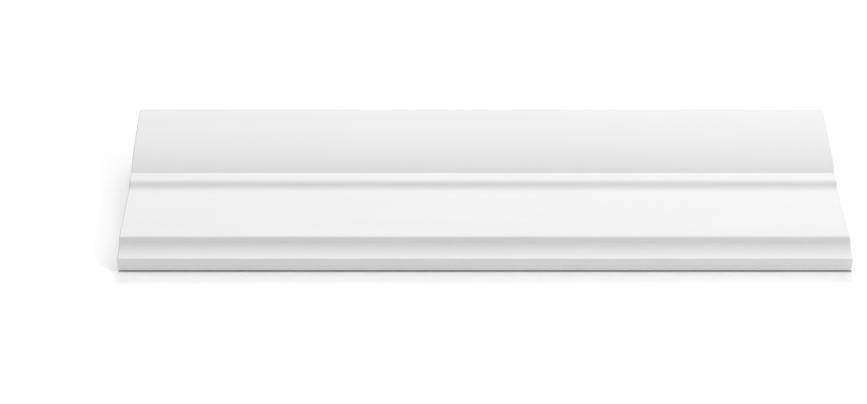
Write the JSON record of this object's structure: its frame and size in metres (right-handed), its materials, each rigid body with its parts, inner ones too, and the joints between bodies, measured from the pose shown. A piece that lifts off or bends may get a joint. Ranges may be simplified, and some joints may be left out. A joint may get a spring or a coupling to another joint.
{
  "type": "skirting board",
  "caption": "White moulded skirting board with a thick rounded foot, a soft ogee step, a plain flat, and a bevel and shallow scoop at its thin top edge, cut square at the ends.",
  "frame": {"origin": "middle of the flat back, which goes against the wall and which the board lies on here", "axes": "+X along the board, +Y across its face from the thin top edge to the foot, +Z out of the back towards the moulded face"},
  "size_m": [0.5, 0.15, 0.0331],
  "materials": {
    "white_board": "smooth matt white, ready to paint"
  },
  "bodies": {
    "root": {"skirting_board": "white_board"}
  },
  "joints": []
}
